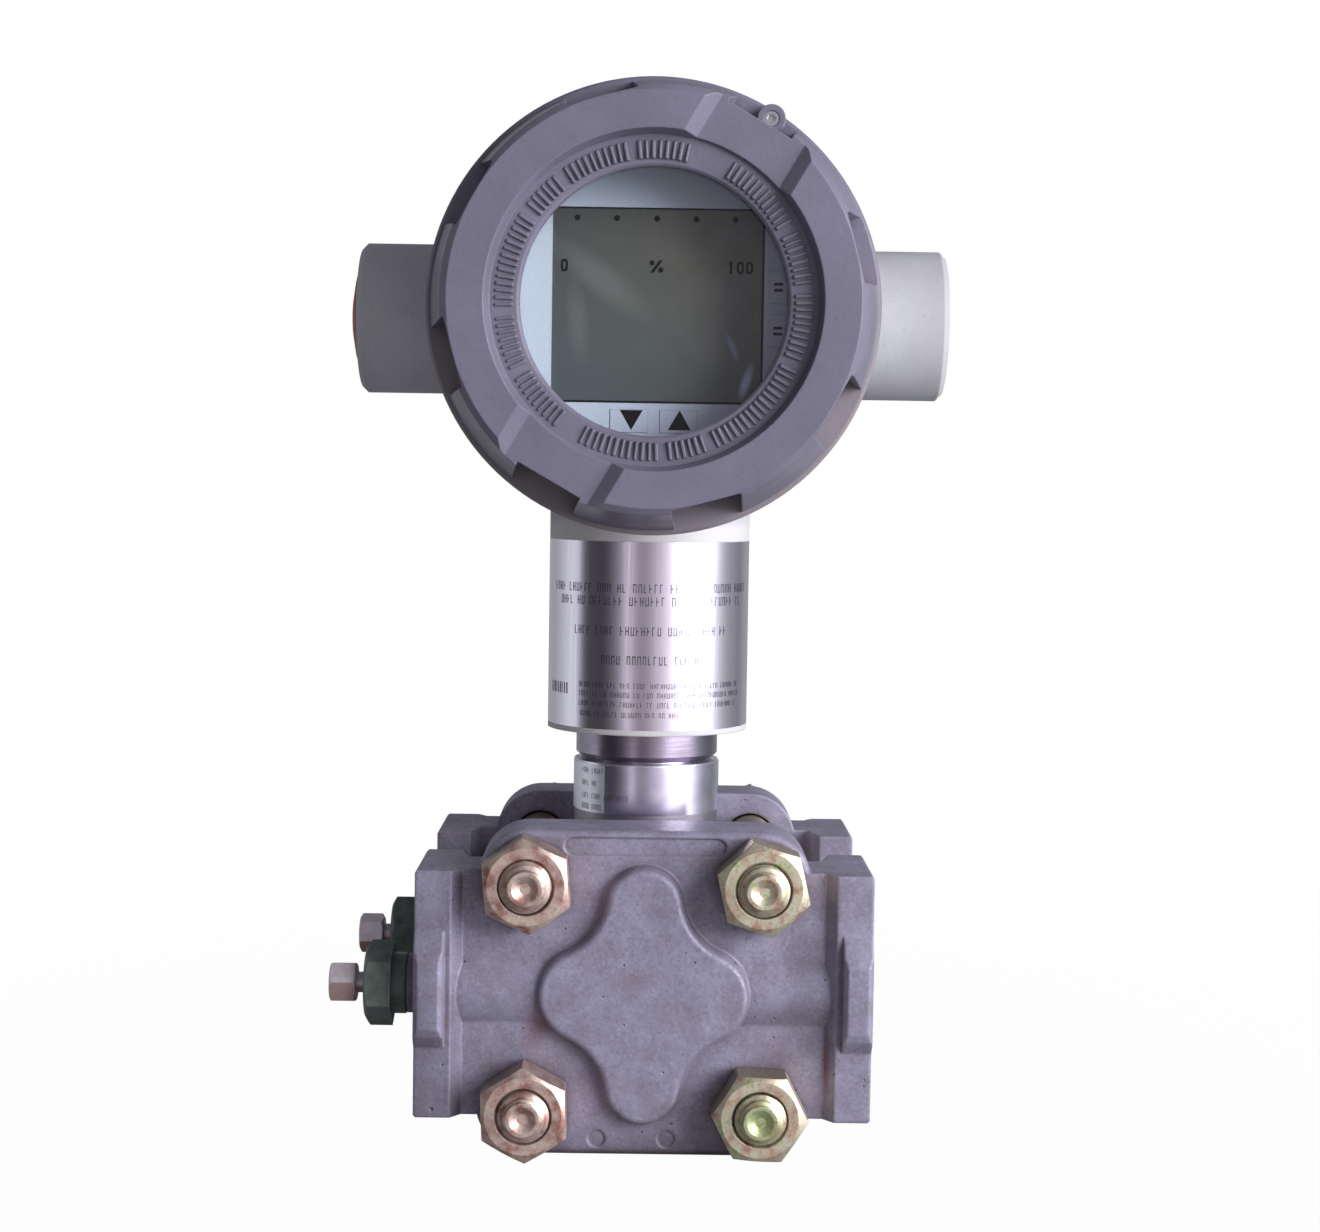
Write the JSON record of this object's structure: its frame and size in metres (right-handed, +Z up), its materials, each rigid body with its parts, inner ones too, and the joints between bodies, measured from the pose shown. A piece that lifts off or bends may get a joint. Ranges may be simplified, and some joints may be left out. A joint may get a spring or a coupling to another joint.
{
  "type": "differential pressure transmitter",
  "caption": "Differential pressure transmitter: two bolted process heads under a round housing with a window cap, display, blind rear cap and side conduit entries.",
  "frame": {"origin": "on the neck's axis, at the underside of the process heads", "axes": "+Z up along the neck, +Y from the window cap to the rear cap, +X towards the right-hand process ports"},
  "size_m": [0.1309, 0.124, 0.2224],
  "materials": {
    "cap_paint": "painted, satin",
    "housing_paint": "painted, satin",
    "cast_steel": "sand cast, matt",
    "neck_steel": "turned",
    "zinc_plate": "yellow zinc plated",
    "green_paint": "painted, gloss",
    "vent_steel": "turned",
    "foil": "brushed foil",
    "label_white": "foil label",
    "seal_rubber": "moulded",
    "gasket_white": "moulded",
    "window": "clear",
    "face_silver": "satin",
    "lcd_glass": "gloss",
    "black_plastic": "moulded",
    "board_green": "solder mask",
    "brass_plated": "nickel plated",
    "plug_red": "moulded"
  },
  "bodies": {
    "sensor": {"process_head_front": "cast_steel", "process_head_rear": "cast_steel", "head_gasket_front": "gasket_white", "head_gasket_rear": "gasket_white", "diaphragm_front": "neck_steel", "diaphragm_rear": "neck_steel", "meter_body": "neck_steel", "sensor_header": "black_plastic", "head_bolts": "zinc_plate", "head_nuts": "zinc_plate", "port_plug_front": "cast_steel", "port_plug_rear": "cast_steel", "vent_bushing_front": "green_paint", "vent_bushing_rear": "green_paint", "lock_ring": "neck_steel", "neck_label": "label_white"},
    "housing": {"housing_body": "housing_paint", "foil_sleeve": "foil", "sensor_module": "black_plastic", "main_board": "board_green", "board_connector": "black_plastic", "display_pillars": "brass_plated", "display_face": "face_silver", "lcd_panel": "lcd_glass", "display_board": "board_green", "display_case": "black_plastic", "terminal_block": "black_plastic", "terminal_screws": "brass_plated", "dust_plug": "plug_red"},
    "vent_front": {"vent_screw_front": "vent_steel"},
    "vent_rear": {"vent_screw_rear": "vent_steel"},
    "front_cap_travel": {"front_cap_seal": "seal_rubber"},
    "front_cap": {"front_cap": "cap_paint", "window_gasket": "seal_rubber", "window_glass": "window", "glass_retainer": "black_plastic"},
    "cap_lock": {"cap_lock_screw": "vent_steel"},
    "rear_cap_travel": {"rear_cap_seal": "seal_rubber"},
    "rear_cap": {"rear_cap": "cap_paint"},
    "key_down": {"key_down": "face_silver"},
    "key_up": {"key_up": "face_silver"},
    "key_side_upper": {"key_side_upper": "face_silver"},
    "key_side_lower": {"key_side_lower": "face_silver"}
  },
  "joints": [
    {"name": "housing_turn", "type": "hinge", "parent": "sensor", "child": "housing", "pos_m": [0, 0, 0.1], "axis": [0, 0, 1], "range_deg": [-90, 90]},
    {"name": "front_cap_travel", "type": "slide", "parent": "housing", "child": "front_cap_travel", "axis": [0, -1, 0], "range_m": [0, 0.01]},
    {"name": "front_cap_turn", "type": "hinge", "parent": "front_cap_travel", "child": "front_cap", "pos_m": [0, -0.06, 0.1767], "axis": [0, -1, 0], "range_deg": [0, 1800]},
    {"name": "rear_cap_travel", "type": "slide", "parent": "housing", "child": "rear_cap_travel", "axis": [0, 1, 0], "range_m": [0, 0.01]},
    {"name": "rear_cap_turn", "type": "hinge", "parent": "rear_cap_travel", "child": "rear_cap", "pos_m": [0, 0.04, 0.1767], "axis": [0, 1, 0], "range_deg": [0, 1800]},
    {"name": "cap_lock_turn", "type": "hinge", "parent": "front_cap", "child": "cap_lock", "pos_m": [0.02277, -0.055, 0.214], "axis": [0, -1, 0], "range_deg": [0, 360]},
    {"name": "vent_front_turn", "type": "hinge", "parent": "sensor", "child": "vent_front", "pos_m": [-0.06, -0.027, 0.0338], "axis": [-1, 0, 0], "range_deg": [0, 360]},
    {"name": "vent_rear_turn", "type": "hinge", "parent": "sensor", "child": "vent_rear", "pos_m": [-0.06, 0.027, 0.0338], "axis": [-1, 0, 0], "range_deg": [0, 360]},
    {"name": "key_down_press", "type": "slide", "parent": "housing", "child": "key_down", "axis": [0, 1, 0], "range_m": [0, 0.0004], "stiffness_N_per_m": 900, "springref_m": -0.0002},
    {"name": "key_up_press", "type": "slide", "parent": "housing", "child": "key_up", "axis": [0, 1, 0], "range_m": [0, 0.0004], "stiffness_N_per_m": 900, "springref_m": -0.0002},
    {"name": "key_side_upper_press", "type": "slide", "parent": "housing", "child": "key_side_upper", "axis": [0, 1, 0], "range_m": [0, 0.0004], "stiffness_N_per_m": 900, "springref_m": -0.0002},
    {"name": "key_side_lower_press", "type": "slide", "parent": "housing", "child": "key_side_lower", "axis": [0, 1, 0], "range_m": [0, 0.0004], "stiffness_N_per_m": 900, "springref_m": -0.0002}
  ],
  "couplings": [
    {"joint": "front_cap_travel", "follows": "front_cap_turn", "m_per_rad": 0.00031831},
    {"joint": "rear_cap_travel", "follows": "rear_cap_turn", "m_per_rad": 0.00031831}
  ]
}
